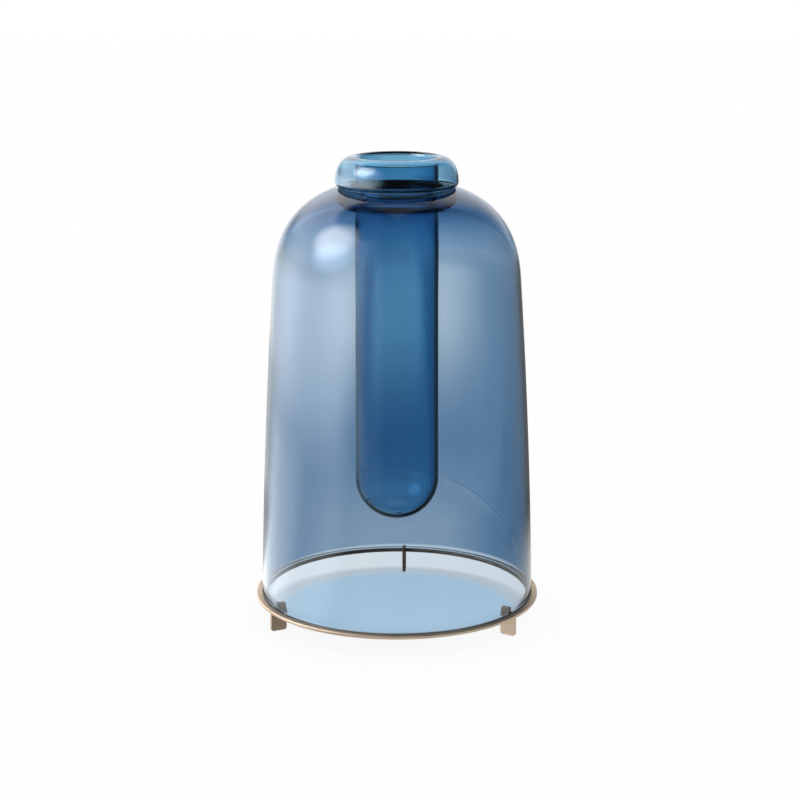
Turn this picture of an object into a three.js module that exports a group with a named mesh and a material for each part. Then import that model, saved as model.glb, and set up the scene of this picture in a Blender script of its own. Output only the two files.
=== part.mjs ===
// A blown glass vase. A blue glass bell stands on a flat metal ring with three sheet feet,
// and a round-ended flower tube hangs inside the bell from its own rolled collar.
// Millimetres, +Z up, origin on the axis at the height that the feet stand on, front towards -Y.
import * as THREE from "three";

// Stand
const footHeight = 12.5; // table to the underside of the ring
const sheetThickness = 2; // the feet are cut from sheet
const footLength = 10.1; // along the radius, below the ring
const footCornerRadius = 1.6; // the two bottom corners of a foot
const tabWidth = 5.4; // the tab on a foot stands up inside the glass and centres it
const tabHeight = 3; // above the ring
const tabCornerRadius = 0.6;
const ringWidth = 6.1; // radial width of the flat bar
const ringThickness = 2;
const ringEdge = 0.3; // broken edges of the bar
const ringToTab = 0.3; // gap between the bar's inner edge and the tabs
const footAngles = { foot_back: 90, foot_left: 210, foot_right: 330 }; // degrees from +X

// Bell, blown thin at the side and left thick at the crown
const bellRimRadius = 84.5; // outside, at the open lower rim
const bellShoulderRadius = 75.7; // outside, where the side turns into the shoulder
const bellSideHeight = 187; // rim to the start of the shoulder
const bellSideBow = 1.3; // swelling of the side beyond a straight cone
const bellCrownRise = 70.5; // start of the shoulder to the crown
const bellSquareness = 2.6; // exponent of the shoulder's curve, inside and out: 2 is an ellipse
const bellSideWall = 1.7;
const bellCrownWall = 8;
const rimWall = 2.4; // the rim was melted, so it is round and a little thicker than the side
const rimEdge = 1; // rounded edges of the rim
const rimFade = 8; // height over which the rim thins to the side's wall
const holeEdge = 1.5; // melted round edges of the hole in the crown
const bellToTab = 0.5; // loose fit of the rim round the tabs
const holeToTube = 2; // loose fit of the tube in the hole

// Flower tube and its collar, one piece of glass
const tubeNeckRadius = 24.9; // outside, under the collar
const tubeEndRadius = 25.7; // outside, where the round end starts
const tubeWall = 2;
const tubeReach = 206.7; // collar seat down to the lowest point of the round end
const collarRadius = 37.3; // outside, at the widest
const collarRise = 15.2; // widest height up to the crest
const collarSquareness = 2.15; // exponent of the collar's outside curve
const collarWall = 1.2; // at the widest, where the glass was opened out
const collarFoldRadius = 1; // inside of the fold at the mouth
const collarTuck = 3; // how far the lower edge turns in from the widest
const collarTuckHeight = 2.9;
const seatGap = 0.3; // between the collar's edge and the bell

// Fineness of the curves
const bellSegments = 64;
const tubeSegments = 48;
const sideSteps = 6;
const shoulderSteps = 14;
const collarSteps = 6;
const edgeSteps = 3;
const samePoint = 1e-4; // profile points closer than this are one point

// Where the pieces meet
const ringTop = footHeight + ringThickness;
const tabOuterRadius = bellRimRadius - rimWall - bellToTab;
const footInnerRadius = tabOuterRadius - tabWidth;
const ringInnerRadius = tabOuterRadius + ringToTab;
const shoulderZ = ringTop + bellSideHeight;
const holeRadius = Math.max(tubeNeckRadius, tubeEndRadius) + holeToTube;
const seatRadius = collarRadius - collarTuck;
const seatZ = crownHeight(seatRadius) + seatGap;

function point(r, z) {
  return new THREE.Vector2(r, z);
}

// Points along a superellipse about (r, z), between two angles in degrees from the +r direction.
function arc(r, z, radiusR, radiusZ, from, to, steps, squareness = 2) {
  const power = 2 / squareness;
  const bent = (value) => Math.sign(value) * Math.abs(value) ** power;
  return Array.from({ length: steps + 1 }, (_, i) => {
    const angle = THREE.MathUtils.degToRad(THREE.MathUtils.lerp(from, to, i / steps));
    return point(r + radiusR * bent(Math.cos(angle)), z + radiusZ * bent(Math.sin(angle)));
  });
}

// Height of the bell's outside surface above a radius on its shoulder.
function crownHeight(r) {
  const share = (r / bellShoulderRadius) ** bellSquareness;
  return shoulderZ + bellCrownRise * (1 - share) ** (1 / bellSquareness);
}

// Angle, in degrees, at which a superellipse of that radius reaches r.
function angleAt(r, radius, squareness) {
  return THREE.MathUtils.radToDeg(Math.acos((r / radius) ** (squareness / 2)));
}

// The bell's side, from above the rim up to just below the shoulder.
function sideLine(wall) {
  return Array.from({ length: sideSteps }, (_, i) => {
    const height = THREE.MathUtils.lerp(rimFade, bellSideHeight, i / sideSteps);
    const t = height / bellSideHeight;
    const cone = THREE.MathUtils.lerp(bellRimRadius, bellShoulderRadius, t);
    return point(cone + 4 * bellSideBow * t * (1 - t) - wall, ringTop + height);
  });
}

// A solid of revolution about Z from points that run up the outside and down the inside.
function turned(profile, segments) {
  const clean = profile.filter((p, i) => i === 0 || p.distanceTo(profile[i - 1]) > samePoint);
  return new THREE.LatheGeometry(clean, segments).rotateX(Math.PI / 2);
}

function bellGeometry() {
  const innerRadius = bellShoulderRadius - bellSideWall;
  const innerRise = bellCrownRise - bellCrownWall;
  const edgeRadius = holeRadius + holeEdge;
  const outerEnd = angleAt(edgeRadius, bellShoulderRadius, bellSquareness);
  const innerEnd = angleAt(edgeRadius, innerRadius, bellSquareness);
  const outside = arc(
    0, shoulderZ, bellShoulderRadius, bellCrownRise, 0, outerEnd, shoulderSteps, bellSquareness,
  );
  const inside = arc(
    0, shoulderZ, innerRadius, innerRise, innerEnd, 0, shoulderSteps, bellSquareness,
  );
  const holeTop = outside.at(-1).y - holeEdge;
  const holeBottom = inside[0].y + holeEdge;
  const rimZ = ringTop + rimEdge;
  const rimOutside = arc(bellRimRadius - rimEdge, rimZ, rimEdge, rimEdge, -90, 0, edgeSteps);
  const rimInside = arc(
    bellRimRadius - rimWall + rimEdge, rimZ, rimEdge, rimEdge, 180, 270, edgeSteps,
  );
  return turned([
    ...rimOutside,
    ...sideLine(0),
    ...outside,
    ...arc(edgeRadius, holeTop, holeEdge, holeEdge, 90, 180, edgeSteps),
    ...arc(edgeRadius, holeBottom, holeEdge, holeEdge, 180, 270, edgeSteps),
    ...inside,
    ...sideLine(bellSideWall).reverse(),
    ...rimInside,
    rimOutside[0],
  ], bellSegments);
}

function tubeGeometry() {
  const wideZ = seatZ + collarTuckHeight;
  const crestRadius = tubeNeckRadius + collarFoldRadius;
  const collarSpan = collarRadius - crestRadius;
  const hollowSpan = collarSpan - collarWall;
  const hollowRise = collarRise - tubeWall;
  const lip = tubeWall + collarFoldRadius; // outside radius of the fold at the mouth
  const crestZ = wideZ + collarRise;
  const endZ = seatZ - tubeReach + tubeEndRadius;
  const boreEnd = tubeEndRadius - tubeWall;
  const tuckInside = collarTuck - collarWall;
  const tuckInsideHeight = collarTuckHeight - collarWall;
  const edge = collarWall / 2; // the tucked edge is melted round
  return turned([
    ...arc(0, endZ, tubeEndRadius, tubeEndRadius, -90, 0, collarSteps),
    // the hollow under the collar, from the tube's outside over to the tucked edge
    ...arc(crestRadius, crestZ - lip, collarFoldRadius, collarFoldRadius, 180, 90, edgeSteps),
    ...arc(crestRadius, wideZ, hollowSpan, hollowRise, 90, 0, collarSteps, collarSquareness),
    ...arc(seatRadius, wideZ, tuckInside, tuckInsideHeight, 0, -90, edgeSteps),
    ...arc(seatRadius, seatZ + edge, edge, edge, 90, 270, edgeSteps),
    // the collar's outside, over the crest and down the bore
    ...arc(seatRadius, wideZ, collarTuck, collarTuckHeight, -90, 0, edgeSteps),
    ...arc(crestRadius, wideZ, collarSpan, collarRise, 0, 90, collarSteps, collarSquareness),
    ...arc(crestRadius, crestZ - lip, lip, lip, 90, 180, edgeSteps),
    ...arc(0, endZ, boreEnd, boreEnd, 0, -90, collarSteps),
  ], tubeSegments);
}

function ringGeometry() {
  const inner = ringInnerRadius;
  const outer = ringInnerRadius + ringWidth;
  const section = [
    point(outer - ringEdge, footHeight),
    point(outer, footHeight + ringEdge),
    point(outer, ringTop - ringEdge),
    point(outer - ringEdge, ringTop),
    point(inner + ringEdge, ringTop),
    point(inner, ringTop - ringEdge),
    point(inner, footHeight + ringEdge),
    point(inner + ringEdge, footHeight),
  ];
  return turned([...section, section[0]], bellSegments);
}

// One foot in the XZ plane, pointing along +X: a blade under the ring with a tab inside it.
function footGeometry() {
  const inner = footInnerRadius;
  const outer = footInnerRadius + footLength;
  const top = ringTop + tabHeight;
  const r = footCornerRadius;
  const t = tabCornerRadius;
  const outline = new THREE.Shape();
  outline.moveTo(inner + r, 0);
  outline.lineTo(outer - r, 0);
  outline.absarc(outer - r, r, r, -Math.PI / 2, 0);
  outline.lineTo(outer, footHeight);
  outline.lineTo(tabOuterRadius, footHeight);
  outline.absarc(tabOuterRadius - t, top - t, t, 0, Math.PI / 2);
  outline.absarc(inner + t, top - t, t, Math.PI / 2, Math.PI);
  outline.absarc(inner + r, r, r, Math.PI, 1.5 * Math.PI);
  const blade = new THREE.ExtrudeGeometry(outline, {
    depth: sheetThickness,
    bevelEnabled: false,
    curveSegments: edgeSteps,
  });
  return blade.translate(0, 0, -sheetThickness / 2).rotateX(Math.PI / 2);
}

function glass() {
  return new THREE.MeshStandardMaterial({
    color: 0x5f8fc4, roughness: 0.04, metalness: 0, transparent: true, opacity: 0.45,
  });
}

function satinMetal() {
  return new THREE.MeshStandardMaterial({ color: 0xb8ab9a, roughness: 0.35, metalness: 1 });
}

function addPiece(parent, name, geometry, material) {
  const mesh = new THREE.Mesh(geometry, material);
  mesh.name = name;
  parent.add(mesh);
}

const vase = new THREE.Group();
addPiece(vase, "base_ring", ringGeometry(), satinMetal());
for (const [name, angle] of Object.entries(footAngles)) {
  const spoke = new THREE.Group();
  spoke.rotation.z = THREE.MathUtils.degToRad(angle);
  addPiece(spoke, name, footGeometry(), satinMetal());
  vase.add(spoke);
}
addPiece(vase, "glass_bell", bellGeometry(), glass());
addPiece(vase, "flower_tube", tubeGeometry(), glass());

export default vase;
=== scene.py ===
# %% [markdown]
# # A blown glass vase
# A blue glass bell stands on a flat metal ring with three sheet feet. A round-ended flower tube hangs
# inside the bell from its own rolled collar, so flowers and water stay in the middle of an empty bell.
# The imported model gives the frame: every piece below is made in metres, in the same place as the solid
# that it stands for.

# %% Load the frame
from math import cos, radians, sin

import bpy
import numpy as np
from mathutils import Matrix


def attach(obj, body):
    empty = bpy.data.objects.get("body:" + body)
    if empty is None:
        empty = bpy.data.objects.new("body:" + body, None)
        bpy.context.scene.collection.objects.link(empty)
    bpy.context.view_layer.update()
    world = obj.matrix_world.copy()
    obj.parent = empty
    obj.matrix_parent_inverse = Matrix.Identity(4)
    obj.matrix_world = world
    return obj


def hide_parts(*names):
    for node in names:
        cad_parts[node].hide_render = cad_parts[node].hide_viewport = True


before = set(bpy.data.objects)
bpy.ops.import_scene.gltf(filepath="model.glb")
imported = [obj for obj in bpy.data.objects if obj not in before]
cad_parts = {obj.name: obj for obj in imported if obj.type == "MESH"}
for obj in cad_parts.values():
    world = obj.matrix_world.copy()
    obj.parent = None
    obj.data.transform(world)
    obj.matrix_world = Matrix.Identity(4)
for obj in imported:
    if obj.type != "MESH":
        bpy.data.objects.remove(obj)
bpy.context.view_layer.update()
scene = bpy.context.scene
scene.view_settings.view_transform = "Standard"

# %% [markdown]
# ## The camera
# The photograph was taken with a long lens from a little above the collar, so the ring shows as a narrow
# ellipse. A camera could be placed by eye, but the ellipses of the ring, the rim and the mouth and the
# places of the three feet fix its distance, height and tilt, so those measured values are used.

# %% Place the camera
CAMERA_DISTANCE = 1.2179  # from the axis, along the floor
CAMERA_HEIGHT = 0.42905
CAMERA_TILT = 13.51  # degrees below level
CAMERA_SIDE = 3.35  # degrees round the axis, towards +X
CAMERA_STEP = 0.0019  # sideways, because the vase stands left of the picture's middle
CAMERA_LENS = 91.485  # mm
CAMERA_SENSOR = 36.0  # mm

camera = bpy.data.objects.new("camera", bpy.data.cameras.new("camera"))
camera.data.lens = CAMERA_LENS
camera.data.sensor_width = CAMERA_SENSOR
turn = radians(CAMERA_SIDE)
camera.location = (
    CAMERA_DISTANCE * sin(turn) + CAMERA_STEP * cos(turn),
    -CAMERA_DISTANCE * cos(turn) + CAMERA_STEP * sin(turn),
    CAMERA_HEIGHT,
)
camera.rotation_euler = (radians(90 - CAMERA_TILT), 0, turn)
scene.collection.objects.link(camera)
scene.camera = camera
print("camera at", [round(v, 3) for v in camera.location])

# %% [markdown]
# ## Turning glass from a profile
# Blown glass is turned all the time while it is soft, so nearly all of this vase is a profile carried round
# the Z axis. A Screw modifier could do it, but a small numpy function gives the vertices, the poles and the
# outward faces at once. Sizes are written in millimetres, and only the mesh maker changes them to metres.

# %% Profile helpers
MM = 0.001
ON_AXIS = 1e-6  # mm from the axis that still count as on it


def bow(r, z, radius_r, radius_z, start, stop, squareness=2.0, count=400):
    """Points of the superellipse |dr/radius_r|^n + |dz/radius_z|^n = 1 about (r, z), between two angles in
    degrees from +r. n is the squareness, and 2 gives an ellipse."""
    angle = np.radians(np.linspace(start, stop, count))
    bent = [np.sign(v) * np.abs(v) ** (2.0 / squareness) for v in (np.cos(angle), np.sin(angle))]
    return np.column_stack([r + radius_r * bent[0], z + radius_z * bent[1]])


def evenly(points, count):
    """The same line with count points at equal steps of its own length."""
    steps = np.linalg.norm(np.diff(points, axis=0), axis=1)
    length = np.concatenate([[0.0], np.cumsum(steps)])
    wanted = np.linspace(0.0, length[-1], count)
    return np.column_stack([np.interp(wanted, length, points[:, k]) for k in range(2)])


# %% Turn a profile into a mesh
def turned(profile, turns):
    """Vertices and faces of x = r cos t, y = r sin t, z = z for a profile (r, z) that runs up the outside and
    down the inside. A profile that starts and ends on the axis gets two poles. Any other one is closed."""
    on_axis = profile[0, 0] < ON_AXIS
    rows = profile[1:-1] if on_axis else profile
    angle = np.linspace(0.0, 2.0 * np.pi, turns, endpoint=False)
    r, z = rows[:, :1], rows[:, 1:]
    grid = np.stack([r * np.cos(angle), r * np.sin(angle), z + 0.0 * angle], axis=-1)
    vertices = grid.reshape(-1, 3)
    index = np.arange(len(vertices)).reshape(len(rows), turns)
    beside = np.roll(index, -1, axis=1)
    above, above_beside = np.roll(index, -1, axis=0), np.roll(beside, -1, axis=0)
    keep = len(rows) - 1 if on_axis else len(rows)
    quads = np.stack([index, beside, above_beside, above], axis=-1)[:keep].reshape(-1, 4)
    faces = quads.tolist()
    if on_axis:
        first, last = len(vertices), len(vertices) + 1
        vertices = np.vstack([vertices, [0.0, 0.0, profile[0, 1]], [0.0, 0.0, profile[-1, 1]]])
        start = np.stack([beside[0], index[0], np.full(turns, first)], axis=-1)
        end = np.stack([index[-1], beside[-1], np.full(turns, last)], axis=-1)
        faces += start.tolist() + end.tolist()
    return vertices, faces


# %% Put a piece into the scene
def add_piece(name, vertices, faces, body, node, slot, sharp=None):
    """A smooth mesh object in metres that rides on a body and stands for a node of the solid model. Edges
    over sharp degrees stay sharp."""
    mesh = bpy.data.meshes.new(name)
    mesh.from_pydata((np.asarray(vertices) * MM).tolist(), [], faces)
    mesh.polygons.foreach_set("use_smooth", [True] * len(mesh.polygons))
    if sharp is not None:
        mesh.set_sharp_from_angle(angle=radians(sharp))
    mesh.update()
    piece = bpy.data.objects.new(name, mesh)
    scene.collection.objects.link(piece)
    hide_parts(node)
    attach(piece, body)
    print(name, len(mesh.vertices), "vertices", len(mesh.polygons), "faces")
    return piece


# %% [markdown]
# ## The bell
# The bell is blown thin at the side and stays thick at the crown, where the iron was. Its rim and the edge of
# the hole in the crown are melted round, and the melted rim is a little thicker than the side. The wall is
# a real one with an inner and an outer surface, because the pale line and the dark line along the outline of
# a glass come from light that runs inside the wall.

# %% Sizes of the bell
FOOT_HEIGHT = 12.5
RING_THICKNESS = 2.0
RING_TOP = FOOT_HEIGHT + RING_THICKNESS

BELL_RIM_RADIUS = 84.5
BELL_SHOULDER_RADIUS = 75.7
BELL_SIDE_HEIGHT = 187.0
BELL_SIDE_LEAN = 0.07  # how far the side leans in over its height, where it runs into the shoulder
BELL_CROWN_RISE = 70.5
BELL_SQUARENESS = 2.6
BELL_SIDE_WALL = 1.7
BELL_CROWN_WALL = 8.0
RIM_WALL = 2.4
RIM_EDGE = 1.0
RIM_FADE = 8.0  # height over which the rim thins to the wall of the side
RIM_GAP = 0.1  # the rim touches the ring only here and there
HOLE_EDGE = 1.5
SHOULDER_Z = RING_TOP + BELL_SIDE_HEIGHT

TUBE_NECK_RADIUS = 24.9
TUBE_END_RADIUS = 25.7
HOLE_TO_TUBE = 2.0
HOLE_RADIUS = max(TUBE_NECK_RADIUS, TUBE_END_RADIUS) + HOLE_TO_TUBE

BELL_TURNS = 224  # steps round the axis
SIDE_POINTS = 70
SHOULDER_POINTS = 110
SHOULDER_DRAFT_POINTS = 4000  # before they are spread evenly
RIM_POINTS = 14
HOLE_POINTS = 12
print("bell", 2 * BELL_RIM_RADIUS, "mm wide at the rim, with a hole of", 2 * HOLE_RADIUS, "mm")


# %% Make the bell
def shoulder_join(radius, rise):
    """Height above the shoulder's start at which it leans as the side does: a superellipse of exponent n
    leans by (radius / rise) (height / rise)^(n - 1)."""
    return rise * (BELL_SIDE_LEAN * rise / radius) ** (1 / (BELL_SQUARENESS - 1))


def side_line(radius, rise, wall, thickening, count):
    """The side from the rim to a shoulder of that radius and rise, in steps that grow upwards: a cone with
    the parabolic swelling that makes both lean alike where they join, less a thickening that fades out
    above the rim as the square of the height left."""
    join = shoulder_join(radius, rise)
    top = BELL_SIDE_HEIGHT + join
    rim_radius = BELL_RIM_RADIUS - wall
    top_radius = radius * (1 - (join / rise) ** BELL_SQUARENESS) ** (1 / BELL_SQUARENESS)
    swelling = BELL_SIDE_LEAN * top - (rim_radius - top_radius)
    first = RIM_GAP + RIM_EDGE
    height = first + (top - first) * np.linspace(0.0, 1.0, count) ** 2
    t = height / top
    bead = thickening * np.clip(1 - height / RIM_FADE, 0, 1) ** 2
    return np.column_stack([
        rim_radius + (top_radius - rim_radius) * t + swelling * t * (1 - t) - bead,
        RING_TOP + height,
    ])


def shoulder_line(radius, rise, end_radius, count):
    """The shoulder from its join with the side up to the edge of the hole, on a superellipse."""
    start = np.degrees(np.arcsin((shoulder_join(radius, rise) / rise) ** (BELL_SQUARENESS / 2)))
    end = np.degrees(np.arccos((end_radius / radius) ** (BELL_SQUARENESS / 2)))
    draft = bow(0, SHOULDER_Z, radius, rise, start, end, BELL_SQUARENESS, SHOULDER_DRAFT_POINTS)
    return evenly(draft, count)


def bell_profile():
    """Up the outside of the bell, round the hole and down the inside."""
    edge = HOLE_RADIUS + HOLE_EDGE
    outer = (BELL_SHOULDER_RADIUS, BELL_CROWN_RISE)
    inner = (BELL_SHOULDER_RADIUS - BELL_SIDE_WALL, BELL_CROWN_RISE - BELL_CROWN_WALL)
    outside = shoulder_line(*outer, edge, SHOULDER_POINTS)
    inside = shoulder_line(*inner, edge, SHOULDER_POINTS)
    outer_side = side_line(*outer, 0.0, 0.0, SIDE_POINTS)[:-1]
    thickening = RIM_WALL - BELL_SIDE_WALL
    inner_side = side_line(*inner, BELL_SIDE_WALL, thickening, SIDE_POINTS)[:-1]
    rim_z = outer_side[0, 1]
    return np.vstack([
        bow(outer_side[0, 0] - RIM_EDGE, rim_z, RIM_EDGE, RIM_EDGE, -90, 0, count=RIM_POINTS)[:-1],
        outer_side,
        outside,
        bow(edge, outside[-1, 1] - HOLE_EDGE, HOLE_EDGE, HOLE_EDGE, 90, 180, count=HOLE_POINTS)[1:],
        bow(edge, inside[-1, 1] + HOLE_EDGE, HOLE_EDGE, HOLE_EDGE, 180, 270, count=HOLE_POINTS)[:-1],
        inside[::-1],
        inner_side[::-1],
        bow(inner_side[0, 0] + RIM_EDGE, rim_z, RIM_EDGE, RIM_EDGE, 180, 270, count=RIM_POINTS)[1:],
    ])


bell_mesh = turned(bell_profile(), BELL_TURNS)
bell = add_piece("blown_bell", *bell_mesh, "bell", "glass_bell", "blue_glass")

# %% [markdown]
# ## The flower tube
# The tube is a second blowing with a round end. Its mouth is opened out, which makes the glass thinner, and
# rolled over into a hollow collar that is wider than the hole in the crown, so the tube hangs by it. One
# unbroken profile runs from the pole at the round end up the outside, through the hollow of the collar, over
# the crest and down the bore to the inner pole.

# %% Sizes of the flower tube
TUBE_WALL = 2.0
TUBE_REACH = 206.7
COLLAR_RADIUS = 37.3
COLLAR_RISE = 15.2
COLLAR_SQUARENESS = 2.15
COLLAR_WALL = 1.2
COLLAR_FOLD_RADIUS = 1.0
COLLAR_TUCK = 3.0
COLLAR_TUCK_HEIGHT = 2.9
SEAT_GAP = 0.3

SEAT_RADIUS = COLLAR_RADIUS - COLLAR_TUCK
SEAT_SHARE = (SEAT_RADIUS / BELL_SHOULDER_RADIUS) ** BELL_SQUARENESS
SEAT_Z = SHOULDER_Z + BELL_CROWN_RISE * (1 - SEAT_SHARE) ** (1 / BELL_SQUARENESS) + SEAT_GAP

TUBE_TURNS = 192
TUBE_POINTS = 60  # along each straight wall and each round end
HOLLOW_POINTS = 40
CREST_POINTS = 50
FOLD_POINTS = 10
TUCK_POINTS = 14
LIP_POINTS = 16
print("the collar sits at", round(SEAT_Z, 2), "mm")


# %% Make the flower tube
def tube_profile():
    """Up the outside of the tube, through the hollow collar, over the crest and down the bore."""
    wide_z = SEAT_Z + COLLAR_TUCK_HEIGHT
    crest_r = TUBE_NECK_RADIUS + COLLAR_FOLD_RADIUS
    span = COLLAR_RADIUS - crest_r
    lip = TUBE_WALL + COLLAR_FOLD_RADIUS
    fold_z = wide_z + COLLAR_RISE - lip
    end_z = SEAT_Z - TUBE_REACH + TUBE_END_RADIUS
    bore_end = TUBE_END_RADIUS - TUBE_WALL
    wall, thin, tuck, tuck_height = TUBE_WALL, COLLAR_WALL, COLLAR_TUCK, COLLAR_TUCK_HEIGHT
    straight = np.linspace(0.0, 1.0, TUBE_POINTS)[1:-1, None]
    outer_foot, outer_top = np.array([[TUBE_END_RADIUS, end_z], [TUBE_NECK_RADIUS, fold_z]])
    inner_top, inner_foot = np.array([[TUBE_NECK_RADIUS - wall, fold_z], [bore_end, end_z]])
    hollow = bow(crest_r, wide_z, span - thin, COLLAR_RISE - wall, 90, 0, COLLAR_SQUARENESS)
    crest = bow(crest_r, wide_z, span, COLLAR_RISE, 0, 90, COLLAR_SQUARENESS)
    return np.vstack([
        bow(0, end_z, TUBE_END_RADIUS, TUBE_END_RADIUS, -90, 0, count=TUBE_POINTS),
        outer_foot + (outer_top - outer_foot) * straight,
        bow(crest_r, fold_z, COLLAR_FOLD_RADIUS, COLLAR_FOLD_RADIUS, 180, 90, count=FOLD_POINTS),
        evenly(hollow, HOLLOW_POINTS)[1:],
        bow(SEAT_RADIUS, wide_z, tuck - thin, tuck_height - thin, 0, -90, count=FOLD_POINTS)[1:],
        bow(SEAT_RADIUS, SEAT_Z + thin / 2, thin / 2, thin / 2, 90, 270, count=LIP_POINTS)[1:],
        bow(SEAT_RADIUS, wide_z, tuck, tuck_height, -90, 0, count=TUCK_POINTS)[1:],
        evenly(crest, CREST_POINTS)[1:],
        bow(crest_r, fold_z, lip, lip, 90, 180, count=LIP_POINTS)[1:],
        inner_top + (inner_foot - inner_top) * straight,
        bow(0, end_z, bore_end, bore_end, 0, -90, count=TUBE_POINTS),
    ])


tube_mesh = turned(tube_profile(), TUBE_TURNS)
tube = add_piece("blown_flower_tube", *tube_mesh, "tube", "flower_tube", "blue_glass")

# %% [markdown]
# ## The ring and its feet
# The stand is a flat bar bent into a ring, with three feet cut from sheet. Each foot stands on edge under the
# ring, and a small tab on it reaches up inside the glass and keeps the bell in the middle. The ring is turned
# like the glass. A foot is its outline carried across the sheet with small rounded edges.

# %% Sizes of the stand
SHEET_THICKNESS = 2.0
FOOT_LENGTH = 10.1
FOOT_CORNER = 1.6
TAB_WIDTH = 5.4
TAB_HEIGHT = 3.0
TAB_CORNER = 0.6
RING_WIDTH = 6.1
RING_EDGE = 0.3
RING_TO_TAB = 0.3
BELL_TO_TAB = 0.5
SHEET_EDGE = 0.2
FOOT_ANGLES = {"foot_back": 90, "foot_left": 210, "foot_right": 330}

TAB_OUTER = BELL_RIM_RADIUS - RIM_WALL - BELL_TO_TAB
FOOT_INNER = TAB_OUTER - TAB_WIDTH
FOOT_OUTER = FOOT_INNER + FOOT_LENGTH
RING_INNER = TAB_OUTER + RING_TO_TAB
RING_OUTER = RING_INNER + RING_WIDTH

RING_TURNS = 256
RING_EDGE_POINTS = 7
FOOT_CORNER_POINTS = 10
TAB_CORNER_POINTS = 8
SHEET_EDGE_POINTS = 5
print("ring from radius", round(RING_INNER, 2), "to", round(RING_OUTER, 2), "mm")


# %% Make the ring
def ring_profile():
    """A flat bar with its four edges rounded, from the lower outer edge anticlockwise."""
    low, high = FOOT_HEIGHT + RING_EDGE, RING_TOP - RING_EDGE
    near, far = RING_INNER + RING_EDGE, RING_OUTER - RING_EDGE
    return np.vstack([
        bow(far, low, RING_EDGE, RING_EDGE, -90, 0, count=RING_EDGE_POINTS),
        bow(far, high, RING_EDGE, RING_EDGE, 0, 90, count=RING_EDGE_POINTS),
        bow(near, high, RING_EDGE, RING_EDGE, 90, 180, count=RING_EDGE_POINTS),
        bow(near, low, RING_EDGE, RING_EDGE, 180, 270, count=RING_EDGE_POINTS),
    ])


ring_mesh = turned(ring_profile(), RING_TURNS)
ring = add_piece("flat_ring", *ring_mesh, "stand", "base_ring", "satin_metal", sharp=20)


# %% Make the feet
def foot_outline(inset):
    """A blade with two round bottom corners and a narrower tab with two round top corners, all drawn in by
    the inset."""
    left, right = FOOT_INNER + inset, FOOT_OUTER - inset
    tab, under, top = TAB_OUTER - inset, FOOT_HEIGHT - inset, RING_TOP + TAB_HEIGHT - inset
    big, small = FOOT_CORNER - inset, TAB_CORNER - inset
    return np.vstack([
        bow(left + big, inset + big, big, big, 180, 270, count=FOOT_CORNER_POINTS),
        bow(right - big, inset + big, big, big, 270, 360, count=FOOT_CORNER_POINTS),
        [[right, under], [tab, under]],
        bow(tab - small, top - small, small, small, 0, 90, count=TAB_CORNER_POINTS),
        bow(left + small, top - small, small, small, 90, 180, count=TAB_CORNER_POINTS),
    ])


def foot_mesh(angle):
    """The outline at rising inset and sheet height round both edges, with a face over each end, all turned
    about Z."""
    edge = np.linspace(0.0, np.pi / 2, SHEET_EDGE_POINTS)
    rise = SHEET_THICKNESS / 2 - SHEET_EDGE + SHEET_EDGE * np.sin(edge)
    inset = SHEET_EDGE * (1 - np.cos(edge))
    heights = np.concatenate([-rise[::-1], rise])
    insets = np.concatenate([inset[::-1], inset])
    rows = np.stack([foot_outline(i) for i in insets])
    across = np.broadcast_to(heights[:, None], rows.shape[:2])
    t = radians(angle)
    x = rows[..., 0] * cos(t) + across * sin(t)
    y = rows[..., 0] * sin(t) - across * cos(t)
    vertices = np.stack([x, y, rows[..., 1]], axis=-1).reshape(-1, 3)
    index = np.arange(len(vertices)).reshape(rows.shape[:2])
    beside = np.roll(index, -1, axis=1)
    quads = np.stack([index[:-1], index[1:], beside[1:], beside[:-1]], axis=-1).reshape(-1, 4)
    return vertices, quads[:, ::-1].tolist() + [index[0][::-1].tolist(), index[-1].tolist()]


feet = [
    add_piece("sheet_" + node, *foot_mesh(angle), "stand", node, "satin_metal", sharp=15)
    for node, angle in FOOT_ANGLES.items()
]


# %% Check that the faces point outwards
CUBIC_CM = 1e-6  # in cubic metres


def signed_volume(piece):
    """Volume from the sum of signed tetrahedra to the origin: positive where the faces point out."""
    mesh = piece.data
    mesh.calc_loop_triangles()
    corners = np.empty(len(mesh.loop_triangles) * 3, dtype=np.int32)
    mesh.loop_triangles.foreach_get("vertices", corners)
    points = np.empty(len(mesh.vertices) * 3)
    mesh.vertices.foreach_get("co", points)
    a, b, c = np.moveaxis(points.reshape(-1, 3)[corners.reshape(-1, 3)], 1, 0)
    return float(np.sum(a * np.cross(b, c)) / 6.0)


for piece in [bell, tube, ring, *feet]:
    print(piece.name, "volume", round(signed_volume(piece) / CUBIC_CM, 2), "cm3")

# %% [markdown]
# ## Node helpers
# A material is a small graph of nodes. One helper that makes a node, sets its inputs and links them keeps
# each material short enough to read as a recipe.

# %% Make a node
WHITE = (1, 1, 1, 1)
BLACK = (0, 0, 0, 1)


def add_node(tree, kind, values=None, **settings):
    """A node with its settings, and with each named input set to a value or linked to a socket."""
    node = tree.nodes.new(kind)
    for name, setting in settings.items():
        setattr(node, name, setting)
    for name, value in (values or {}).items():
        if isinstance(value, bpy.types.NodeSocket):
            tree.links.new(value, node.inputs[name])
        else:
            node.inputs[name].default_value = value
    return node


def new_material(name):
    """An empty node material and its output node."""
    material = bpy.data.materials.new(name)
    material.use_nodes = True
    material.node_tree.nodes.clear()
    return material, add_node(material.node_tree, "ShaderNodeOutputMaterial")


def colour_between(tree, value, start, first, stop, second):
    """A colour that goes from the first to the second while a value goes from start to stop."""
    blend = add_node(tree, "ShaderNodeValToRGB", {"Fac": value})
    low, high = blend.color_ramp.elements
    low.position = start
    low.color = first
    high.position = stop
    high.color = second
    return blend.outputs["Color"]


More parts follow.
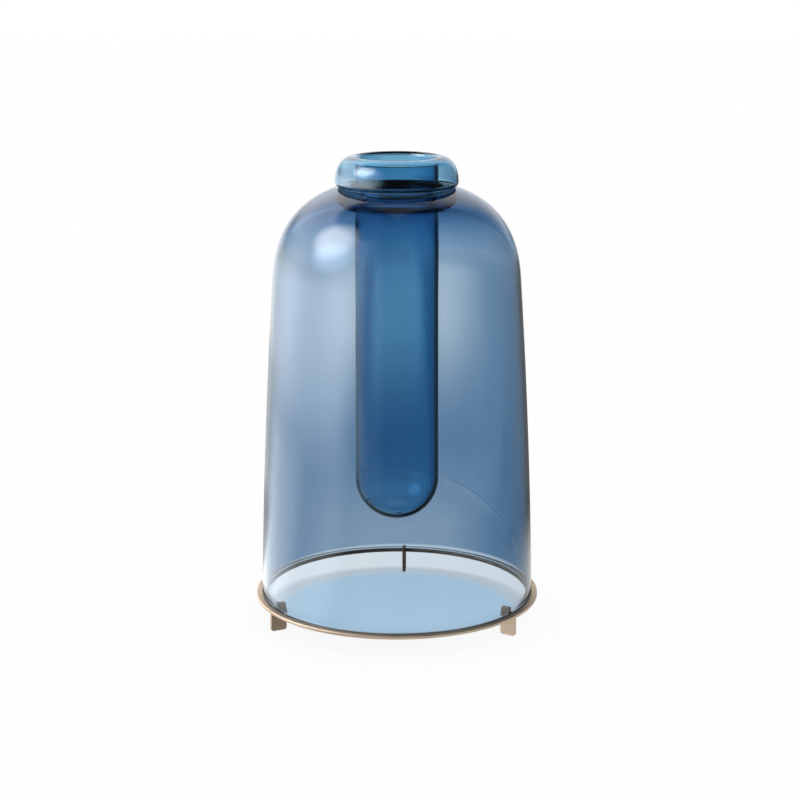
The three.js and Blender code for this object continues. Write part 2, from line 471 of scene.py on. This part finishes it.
# %% [markdown]
# ## Blue glass
# The glass is clear and polished, tinted blue all through. A base colour could tint it, but then a thin wall
# and a thick one would look the same. Here the glass absorbs light along its depth, red most and blue least,
# so the thick crown and the deeper blue tube come out darker by themselves. Hand work leaves the surface very
# slightly uneven, so a soft, wide noise feeds a weak bump, and a taller one makes the tint a little uneven.

# %% Shared unevenness of hand-blown glass
TALL_STRETCH = (1, 1, 0.35)  # less change along Z makes the noise taller
SOFT_NOISE = {"Detail": 1.0, "Roughness": 0.4}


def blown_wobble_group():
    """Soft height and tint masks from two noises on object coordinates, a wide one and a tall one."""
    group = bpy.data.node_groups.new("blown_wobble", "ShaderNodeTree")
    face = group.interface
    face.new_socket("Coordinate", in_out="INPUT", socket_type="NodeSocketVector")
    face.new_socket("Scale", in_out="INPUT", socket_type="NodeSocketFloat")
    face.new_socket("Height", in_out="OUTPUT", socket_type="NodeSocketFloat")
    face.new_socket("Mask", in_out="OUTPUT", socket_type="NodeSocketFloat")
    source = add_node(group, "NodeGroupInput").outputs
    place, scale = source["Coordinate"], source["Scale"]
    stretched = add_node(group, "ShaderNodeMapping", {"Vector": place, "Scale": TALL_STRETCH}).outputs[0]
    wide = add_node(group, "ShaderNodeTexNoise", {"Vector": place, "Scale": scale, **SOFT_NOISE})
    tall = add_node(group, "ShaderNodeTexNoise", {"Vector": stretched, "Scale": scale, **SOFT_NOISE})
    add_node(group, "NodeGroupOutput", {"Height": wide.outputs["Fac"], "Mask": tall.outputs["Fac"]})
    return group


blown_wobble = blown_wobble_group()
print("group", blown_wobble.name, "with", len(blown_wobble.nodes), "nodes")


# %% Glass material
GLASS_INDEX = 1.5
BELL_ABSORBS = (176, 112, 64)  # red, green and blue, per metre of glass
TUBE_ABSORBS = (390, 172, 78)
FAINT_TINT = (0.95, 0.97, 0.985, 1)
WOBBLE_DEPTH = 0.001


def tinted_glass(name, absorbed, scale, wobble):
    """Clear glass that absorbs light per metre of its depth, with a faint uneven tint on its surface."""
    material, output = new_material(name)
    tree = material.node_tree
    place = add_node(tree, "ShaderNodeTexCoord").outputs["Object"]
    values = {"Coordinate": place, "Scale": scale}
    blown = add_node(tree, "ShaderNodeGroup", values, node_tree=blown_wobble).outputs
    bump = add_node(
        tree, "ShaderNodeBump", {"Height": blown["Height"], "Strength": wobble, "Distance": WOBBLE_DEPTH}
    )
    glass = add_node(
        tree, "ShaderNodeBsdfPrincipled",
        {
            "Base Color": colour_between(tree, blown["Mask"], 0.35, WHITE, 0.65, FAINT_TINT),
            "Roughness": 0.0, "IOR": GLASS_INDEX, "Transmission Weight": 1.0, "Normal": bump.outputs[0],
        },
    )
    density = max(absorbed)
    colour = [1 - a / density for a in absorbed] + [1]
    depth = add_node(tree, "ShaderNodeVolumeAbsorption", {"Color": colour, "Density": density})
    tree.links.new(glass.outputs[0], output.inputs["Surface"])
    tree.links.new(depth.outputs[0], output.inputs["Volume"])
    return material


bell.data.materials.append(tinted_glass("bell_glass", BELL_ABSORBS, scale=18.0, wobble=0.15))
tube.data.materials.append(tinted_glass("tube_glass", TUBE_ABSORBS, scale=25.0, wobble=0.1))
print("glass on", bell.name, "and", tube.name)

# %% [markdown]
# ## Satin metal
# The stand is metal with a fine satin finish and a slightly warm colour. A fine noise gives the grain of the
# finish in the roughness and a weak bump, and a wider one lets the colour drift as handled metal does.

# %% Metal material
METAL_DARK = (0.58, 0.46, 0.35, 1)
METAL_LIGHT = (0.66, 0.53, 0.41, 1)
GRAIN_SCALE = 2500.0
GRAIN_DEPTH = 0.0002
DRIFT_SCALE = 60.0


def satin_metal_material():
    """Warm satin metal with a fine grain."""
    material, output = new_material("satin_metal")
    tree = material.node_tree
    place = add_node(tree, "ShaderNodeTexCoord").outputs["Object"]
    grain = add_node(tree, "ShaderNodeTexNoise", {"Vector": place, "Scale": GRAIN_SCALE, "Detail": 2.0})
    drift = add_node(tree, "ShaderNodeTexNoise", {"Vector": place, "Scale": DRIFT_SCALE, "Detail": 2.0})
    fine = grain.outputs["Fac"]
    rough = add_node(tree, "ShaderNodeMapRange", {"Value": fine, "To Min": 0.45, "To Max": 0.58})
    bump = add_node(tree, "ShaderNodeBump", {"Height": fine, "Strength": 0.08, "Distance": GRAIN_DEPTH})
    metal = add_node(
        tree, "ShaderNodeBsdfPrincipled",
        {
            "Base Color": colour_between(tree, drift.outputs["Fac"], 0.3, METAL_DARK, 0.7, METAL_LIGHT),
            "Roughness": rough.outputs[0], "Metallic": 1.0, "Normal": bump.outputs[0],
        },
    )
    tree.links.new(metal.outputs[0], output.inputs["Surface"])
    return material


satin_metal = satin_metal_material()
for piece in [ring, *feet]:
    piece.data.materials.append(satin_metal)
print("metal on", 1 + len(feet), "pieces")

# %% [markdown]
# ## The studio
# Glass shows what is round it more than its own colour. The studio has a white floor, a wide softbox at the
# left with a bulb that shows as a bright spot on the shoulder, and a dim front, ceiling and right side. The
# softbox lays the pale veil down the left of the bell, and the dim sides leave the deep blue clear. Lamps
# could stand for it, but lamplight does not pass well through glass walls, so the world gives all the light.
# A group of nodes says how bright the studio is in a direction, and the floor and the world both use it,
# so the floor glows with painted light and shade in mirrors.
# It is made of ramps: each one changes smoothly between two values while a place on the floor, in metres, or
# a share of a direction goes from one limit to the other.

# %% Node shorthands
def heading(azimuth, elevation=0.0):
    """Unit vector of a direction. Azimuth 0 is the front and 90 the right."""
    a, e = radians(azimuth), radians(elevation)
    return (cos(e) * sin(a), -cos(e) * cos(a), sin(e))


def maths(tree, operation, *values):
    """One step of arithmetic with one or two values."""
    return add_node(tree, "ShaderNodeMath", dict(enumerate(values)), operation=operation).outputs[0]


def product(tree, first, *others):
    """Several values multiplied together."""
    for other in others:
        first = maths(tree, "MULTIPLY", first, other)
    return first


def larger(tree, a, b):
    """The larger of two values."""
    return maths(tree, "MAXIMUM", a, b)


def vector_maths(tree, operation, *vectors):
    """One step of arithmetic with one or two vectors, as a Vector and a Value."""
    return add_node(tree, "ShaderNodeVectorMath", dict(enumerate(vectors)), operation=operation).outputs


def along(tree, vector, direction):
    """How far a vector reaches along a direction."""
    return vector_maths(tree, "DOT_PRODUCT", vector, direction)["Value"]


def ramp(tree, value, start, stop, low=0.0, high=1.0):
    """A smooth change from low to high while a value goes from start to stop."""
    limits = {"Value": value, "From Min": start, "From Max": stop, "To Min": low, "To Max": high}
    return add_node(tree, "ShaderNodeMapRange", limits, interpolation_type="SMOOTHSTEP").outputs[0]


def mixed_colour(tree, share, first, second):
    """The first colour with a share of the second. A Mix node has its colours at inputs 6 and 7, output 2."""
    return add_node(tree, "ShaderNodeMix", {0: share, 6: first, 7: second}, data_type="RGBA").outputs[2]


UP = (0, 0, 1)
BACK = heading(180)
print("front is", heading(0), "and left is", heading(-90))

# %% Mirrored floor and backdrop
STUDIO_DIM = 0.04
# painted light on the floor: its bright side, towards the softbox
WHITE_FLOOR = heading(-115)  # middle of the bright side of the floor
# painted pool of light on the floor close to the vase
NEAR_FLOOR = heading(-104)  # brightest part, close to the vase
NEAR_FLOOR_STRENGTH = 0.8
# faint painted light on the floor at the back right
BACK_FLOOR = heading(150)  # faint light at the back right
BACK_FLOOR_STRENGTH = 0.12
BACKDROP_STRENGTH = 1.1


def floor_look(tree, level, rise):
    """Floor in a level direction and at a rise, with painted light and shade: white at the left, a painted
    pool of light close by, faint painted light at the back right, and painted shade behind the vase, a
    little darker where it is seen steeply."""
    floor = ramp(tree, along(tree, level, WHITE_FLOOR), 0.1, 0.45, STUDIO_DIM, 1.0)
    # painted pool of light close to the vase
    near = ramp(tree, along(tree, level, NEAR_FLOOR), 0.86, 0.99, 0.0, NEAR_FLOOR_STRENGTH)
    floor = maths(tree, "ADD", floor, product(tree, near, ramp(tree, rise, -0.2, -0.28)))
    backwards = along(tree, level, BACK)
    # painted shade behind the vase, deeper where it is seen steeply
    behind = larger(tree, ramp(tree, backwards, 0.45, 0.8, 1.0, 0.75), ramp(tree, rise, -0.25, -0.15))
    steep = larger(tree, ramp(tree, backwards, 0.8, 0.45), ramp(tree, rise, -0.48, -0.38, 0.65))
    # faint painted light at the back right
    faint = ramp(tree, along(tree, level, BACK_FLOOR), 0.7, 1.0, 0.0, BACK_FLOOR_STRENGTH)
    return maths(tree, "ADD", product(tree, floor, behind, steep), faint)


def backdrop_look(tree, level, rise):
    """Backdrop in a level direction and at a rise: white behind the vase and darker towards the ceiling."""
    backdrop = ramp(tree, along(tree, level, BACK), 0.8, 0.98, STUDIO_DIM, BACKDROP_STRENGTH)
    return product(tree, backdrop, ramp(tree, rise, 0.6, 0.9, 1.0, 0.3))


print("the floor is white towards", [round(v, 2) for v in WHITE_FLOOR])

# %% Mirrored softbox
SOFTBOX = heading(-98)  # its middle
SOFTBOX_HALF = 56  # degrees to each end
SOFTBOX_FADE = 22  # degrees to each side of an end
SOFTBOX_STRENGTH = 2.0
SOFTBOX_LOW_STRENGTH = 1.5 * SOFTBOX_STRENGTH
HOT_SPOT = heading(-76, 39)  # the bulb in the softbox
HOT_SPOT_HALF = 25  # degrees
HOT_SPOT_STRENGTH = 8.6


def softbox_look(tree, level, rise):
    """Softbox in a level direction and at a rise: soft ends, stronger low down, and weak low at the back."""
    outer_end = cos(radians(SOFTBOX_HALF + SOFTBOX_FADE))
    inner_end = cos(radians(SOFTBOX_HALF - SOFTBOX_FADE))
    box = ramp(tree, along(tree, level, SOFTBOX), outer_end, inner_end)
    at_back = ramp(tree, along(tree, level, BACK), 0.2, 0.85, 1.0, 0.1)
    fade = larger(tree, at_back, ramp(tree, rise, 0.1, 0.4, 0.0, 0.9))
    lower_end = ramp(tree, rise, -0.29, -0.05)
    strength = ramp(tree, rise, 0.1, 0.4, SOFTBOX_LOW_STRENGTH, SOFTBOX_STRENGTH)
    upper_end = ramp(tree, rise, 0.82, 0.74)
    return product(tree, box, fade, lower_end, strength, upper_end)


print("softbox", 2 * SOFTBOX_HALF, "degrees wide")


# %% How bright the studio is in a direction
def studio_look_group():
    """Brightness of what a mirror shows in a direction: floor, backdrop, softbox and its bulb."""
    group = bpy.data.node_groups.new("studio_look", "ShaderNodeTree")
    group.interface.new_socket("Direction", in_out="INPUT", socket_type="NodeSocketVector")
    group.interface.new_socket("Brightness", in_out="OUTPUT", socket_type="NodeSocketFloat")
    source = add_node(group, "NodeGroupInput").outputs["Direction"]
    aim = vector_maths(group, "NORMALIZE", source)["Vector"]
    rise = along(group, aim, UP)
    flat = vector_maths(group, "MULTIPLY", aim, (1, 1, 0))["Vector"]
    level = vector_maths(group, "NORMALIZE", flat)["Vector"]
    floor_and_backdrop = {
        "Factor": ramp(group, rise, -0.02, 0.12),
        "A": floor_look(group, level, rise),
        "B": backdrop_look(group, level, rise),
    }
    base = add_node(group, "ShaderNodeMix", floor_and_backdrop, data_type="FLOAT").outputs["Result"]
    box = softbox_look(group, level, rise)
    spot = ramp(group, along(group, aim, HOT_SPOT), cos(radians(HOT_SPOT_HALF)), 1.0, 0.0, HOT_SPOT_STRENGTH)
    total = maths(group, "ADD", base, maths(group, "ADD", box, spot))
    add_node(group, "NodeGroupOutput", {"Brightness": total})
    return group


studio_look = studio_look_group()
print("group", studio_look.name, "with", len(studio_look.nodes), "nodes")


# %% Which rays see the studio
def mirror_rays(tree, path):
    """1 for a ray that some surface has mirrored on its way, and 0 for one that only passed through glass."""
    return maths(tree, "MINIMUM", path["Glossy Depth"], 1.0)


def mirrored_studio(tree, direction, path):
    """The studio's brightness in a direction, less for a ray that crosses several walls of glass or is
    mirrored more than once."""
    look = add_node(tree, "ShaderNodeGroup", {"Direction": direction}, node_tree=studio_look).outputs[0]
    several_walls = ramp(tree, path["Transmission Depth"], 2.0, 4.0, 1.0, 0.5)
    several_mirrors = ramp(tree, path["Glossy Depth"], 1.0, 2.0, 1.0, 0.25)
    return product(tree, look, several_walls, several_mirrors)


# %% [markdown]
# ## The floor
# The photograph has a white floor without an edge. The camera sees the floor nearly white, with a little of
# its real shade, so the soft shadow under the feet stays. Rays through the glass see the same floor with the
# blue light that the bell throws back on it, paler in the middle, where light meets the wall straight, and
# darker to both sides. Traced light would need far more samples for that shadow, so it is painted in place.
# Mirrored rays see the studio's light and shade painted on the floor, which glows for them.

# %% Floor plane
FLOOR_REACH = 6.0

floor_corners = np.array([[-1, -1, 0], [1, -1, 0], [1, 1, 0], [-1, 1, 0]]) * FLOOR_REACH
floor_mesh = bpy.data.meshes.new("floor")
floor_mesh.from_pydata(floor_corners.tolist(), [], [(0, 1, 2, 3)])
floor = bpy.data.objects.new("floor", floor_mesh)
scene.collection.objects.link(floor)
print("floor", 2 * FLOOR_REACH, "m wide")

# %% The blue shadow behind the vase
SHADOW_TURN = 3.0  # degrees
SHADOW_RIGHT = heading(90 + SHADOW_TURN)
SHADOW_BACK = heading(180 + SHADOW_TURN)
FRONT_LIGHT_DISTANCE = 1.2
RIM_SHADOW = (0, 0.044, 0)  # middle of the shadow that the rim throws back


def side_window(tree, right, back):
    """1 in the middle of the shadow behind the vase, falling to both sides, where light crosses the wall
    aslant."""
    offside = maths(tree, "ABSOLUTE", maths(tree, "DIVIDE", right, back))
    return ramp(tree, offside, 0.018, 0.06, 1.0, 0.1)


def dark_sides(tree, backwards):
    """Darkness of the room to both sides of the backdrop, from how far a direction points back."""
    return product(tree, ramp(tree, backwards, 0.96, 0.7, 0.0, 0.7), ramp(tree, backwards, 0.2, 0.5))


def blue_shadow(tree, place, distance, backwards):
    """Share of the blue shadow at a place: only behind the vase, outside the shadow of its rim, and paler in
    the middle and far away."""
    back = along(tree, place, SHADOW_BACK)
    right = along(tree, place, SHADOW_RIGHT)
    window = side_window(tree, right, maths(tree, "ADD", back, FRONT_LIGHT_DISTANCE))
    clear = larger(tree, ramp(tree, back, 0.14, 0.43, 0.35, 0.05), ramp(tree, back, 0.4, 1.0, 0.05, 0.85))
    clear = product(tree, clear, ramp(tree, back, 1.5, 3.0, 1.0, 0.65))
    shadow = maths(tree, "SUBTRACT", 1.0, product(tree, clear, window))
    outside_rim = ramp(tree, vector_maths(tree, "DISTANCE", place, RIM_SHADOW)["Value"], 0.083, 0.09)
    behind = ramp(tree, back, -0.02, 0.04)
    far = ramp(tree, back, 1.0, 4.0, 1.0, 0.6)
    sector = larger(tree, ramp(tree, backwards, 0.2, 0.6), ramp(tree, distance, 0.5, 0.2))
    return product(tree, shadow, outside_rim, behind, far, sector)


print("the shadow falls towards", [round(v, 3) for v in SHADOW_BACK])

# %% The floor through glass
FLOOR_COLOUR = (0.95, 0.95, 0.95, 1)
SHADOW_COLOUR = (0.17, 0.31, 0.46, 1)
# painted light: the blue of light that falls through the bell onto the floor inside the ring
PAINTED_UNDER_BELL_LIGHT = (0.52, 0.69, 0.82, 1)
RING_SHADOW_COLOUR = (0.5, 0.55, 0.6, 1)


def floor_through_glass(tree, place, distance):
    """Colour at a place, all of it painted: white, the painted blue shadow, painted blue light under the bell
    inside the ring, the ring's own painted shadow and painted darkness far to the sides."""
    backwards = maths(tree, "DIVIDE", along(tree, place, SHADOW_BACK), distance)
    shadow = blue_shadow(tree, place, distance, backwards)
    colour = mixed_colour(tree, shadow, FLOOR_COLOUR, SHADOW_COLOUR)
    # painted blue light on the floor inside the ring
    colour = mixed_colour(tree, ramp(tree, distance, 0.084, 0.07), colour, PAINTED_UNDER_BELL_LIGHT)
    # painted shadow of the ring on the floor round the rim
    painted_ring_shadow = product(tree, ramp(tree, distance, 0.092, 0.083, 0.0, 0.6), ramp(tree, distance, 0.07, 0.08))
    colour = mixed_colour(tree, painted_ring_shadow, colour, RING_SHADOW_COLOUR)
    # painted darkness: far to both sides the floor turns black for rays through glass, carrying on the dark
    # room
    painted_dark_far_sides = product(tree, dark_sides(tree, backwards), ramp(tree, distance, 1.0, 1.8))
    return mixed_colour(tree, painted_dark_far_sides, colour, BLACK)


# %% The floor in a mirror
EYE_OF_STUDIO = (0, 0, 0.16)  # middle of the vase
FRONT_RIGHT = heading(60)


def floor_in_mirror(tree, place, distance, path):
    """Painted brightness at a place, as mirrors see it: the studio, painted shade under the vase, and painted
    light on the floor beside the vase and in a narrow patch at the front of the ring."""
    outlook = vector_maths(tree, "SUBTRACT", place, EYE_OF_STUDIO)["Vector"]
    # painted shade on the floor under the vase
    under = ramp(tree, distance, 0.08, 0.13, 0.2, 1.0)
    studio = product(tree, mirrored_studio(tree, outlook, path), under)
    # painted light on the floor beside the vase, towards the front right
    to_right = ramp(tree, along(tree, place, FRONT_RIGHT), -0.05, 0.08, 0.15, 0.95)
    no_wall = ramp(tree, path["Transmission Depth"], 1.0, 0.0)
    beside = product(tree, ramp(tree, distance, 0.3, 0.12), to_right, no_wall)
    # painted patch of light on the floor at the front of the ring
    front = ramp(tree, along(tree, place, SHADOW_BACK), -0.02, -0.06, 0.0, 0.45)
    right = along(tree, place, SHADOW_RIGHT)
    narrow = ramp(tree, product(tree, right, right), 0.05**2, 0.03**2)
    painted_light_patch = product(tree, front, ramp(tree, distance, 0.1, 0.085), narrow)
    return maths(tree, "ADD", studio, larger(tree, beside, painted_light_patch))


print("mirrored floor seen from", EYE_OF_STUDIO)

# %% Floor material
CAMERA_WHITE = 0.92  # share of plain white in the floor that the camera sees


def glowing(tree, colour):
    """A surface that shows its colour whatever the light."""
    return add_node(tree, "ShaderNodeEmission", {"Color": colour, "Strength": 1.0}).outputs[0]


def mixed_surface(tree, share, first, second):
    """The first surface with a share of the second."""
    return add_node(tree, "ShaderNodeMixShader", {0: share, 1: first, 2: second}).outputs[0]


floor_white, floor_output = new_material("floor_white")
tree = floor_white.node_tree
path = add_node(tree, "ShaderNodeLightPath").outputs
place = add_node(tree, "ShaderNodeTexCoord").outputs["Object"]
distance = vector_maths(tree, "LENGTH", place)["Value"]
matt = add_node(tree, "ShaderNodeBsdfDiffuse", {"Color": FLOOR_COLOUR}).outputs[0]
lift = product(tree, path["Is Camera Ray"], CAMERA_WHITE)
surface = mixed_surface(tree, lift, matt, glowing(tree, WHITE))
# for rays through glass the floor glows with its painted blue shadow, painted light under the bell and
# painted dark sides
through = glowing(tree, floor_through_glass(tree, place, distance))
surface = mixed_surface(tree, path["Is Transmission Ray"], surface, through)
# for mirrored rays the floor glows with the studio's painted light and shade
mirrored = glowing(tree, floor_in_mirror(tree, place, distance, path))
surface = mixed_surface(tree, mirror_rays(tree, path), surface, mirrored)
tree.links.new(surface, floor_output.inputs["Surface"])
floor_mesh.materials.append(floor_white)
print("floor material with", len(tree.nodes), "nodes")

# %% [markdown]
# ## The world
# The world is the backdrop and the only light. It is white to the camera. Rays through the glass see the blue
# shadow carried on up the backdrop, and a dark room above the backdrop and beside it, which is how a
# photographer gives glass its dark outlines. Mirrored rays see the studio.

# %% World
WINDOW_CLEARS = 0.55  # share of the shadow that its pale middle takes away

world = bpy.data.worlds.new("studio")
scene.world = world
world.use_nodes = True
tree = world.node_tree
tree.nodes.clear()
path = add_node(tree, "ShaderNodeLightPath").outputs
aim = add_node(tree, "ShaderNodeTexCoord").outputs["Generated"]
right = along(tree, aim, SHADOW_RIGHT)
back = along(tree, aim, SHADOW_BACK)
rise = along(tree, aim, UP)
shadow = maths(tree, "SUBTRACT", 1.0, product(tree, WINDOW_CLEARS, side_window(tree, right, back)))
low_down = ramp(tree, rise, -0.02, 0.15, 0.5, 0.1)
behind = ramp(tree, back, 0.3, 0.7)
shadow = product(tree, shadow, low_down, behind, path["Is Transmission Ray"])
colour = mixed_colour(tree, shadow, WHITE, SHADOW_COLOUR)
dark_room = larger(tree, ramp(tree, rise, 0.22, 0.42, 0.0, 0.75), dark_sides(tree, back))
colour = mixed_colour(tree, product(tree, dark_room, path["Is Transmission Ray"]), colour, BLACK)
colour = mixed_colour(tree, mirror_rays(tree, path), colour, mirrored_studio(tree, aim, path))
studio = add_node(tree, "ShaderNodeBackground", {"Color": colour, "Strength": 1.0})
add_node(tree, "ShaderNodeOutputWorld", {"Surface": studio.outputs[0]})
print("world", world.name, "with", len(tree.nodes), "nodes")
